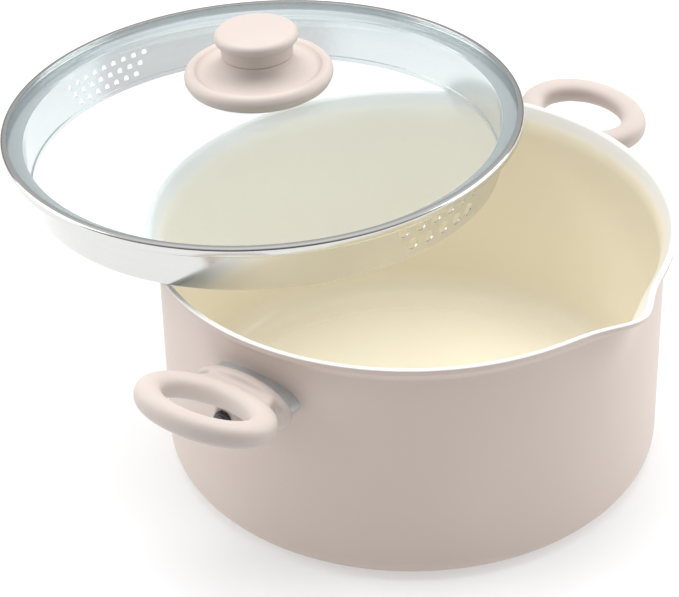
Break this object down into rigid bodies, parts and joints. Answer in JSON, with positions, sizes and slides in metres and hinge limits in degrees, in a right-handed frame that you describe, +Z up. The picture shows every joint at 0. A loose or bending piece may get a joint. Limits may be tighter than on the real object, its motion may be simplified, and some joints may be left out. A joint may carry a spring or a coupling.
{
  "type": "saucepan with glass lid",
  "caption": "Two-handled saucepan with a ceramic-lined bowl, a pouring spout and a glass lid whose steel skirt has straining holes; the lid rests ajar and lifts off.",
  "frame": {"origin": "centre of the flat base, on the surface it stands on", "axes": "+Z up, handles on -X and +X, pouring spout on -Y turned 3.6 degrees round towards -X"},
  "size_m": [0.3576, 0.3496, 0.1958],
  "materials": {
    "painted_body": "matte pale pink-beige enamel",
    "ceramic_coating": "satin cream ceramic coating",
    "soft_touch": "soft matte pale pink-beige moulding",
    "guard_steel": "brushed",
    "fastener_steel": "dark plated",
    "clear_glass": "clear, very faint green edge",
    "polished_band": "polished stainless steel",
    "silicone": "translucent grey silicone",
    "insert_brass": "turned"
  },
  "bodies": {
    "pot": {"pot_body": "painted_body", "ceramic_lining": "ceramic_coating", "left_handle_grip": "soft_touch", "left_flame_guard": "guard_steel", "left_weld_boss": "fastener_steel", "left_handle_screw": "fastener_steel", "left_lock_washer": "fastener_steel", "right_handle_grip": "soft_touch", "right_flame_guard": "guard_steel", "right_weld_boss": "fastener_steel", "right_handle_screw": "fastener_steel", "right_lock_washer": "fastener_steel"},
    "lid_spindle": {"knob_screw": "fastener_steel", "knob_insert": "insert_brass"},
    "lid": {"lid_glass": "clear_glass", "lid_band": "polished_band", "knob_grip": "soft_touch", "knob_base": "soft_touch", "knob_seal": "silicone", "glass_bush": "silicone", "under_seal": "silicone", "knob_washer": "fastener_steel"}
  },
  "joints": [
    {"name": "lid_lift", "type": "slide", "parent": "pot", "child": "lid_spindle", "axis": [0, 0, 1], "range_m": [0, 0.12]},
    {"name": "lid_turn", "type": "hinge", "parent": "lid_spindle", "child": "lid", "pos_m": [0, 0.0885, 0.1481], "axis": [0, 0.0349, 0.9994], "continuous": true}
  ]
}
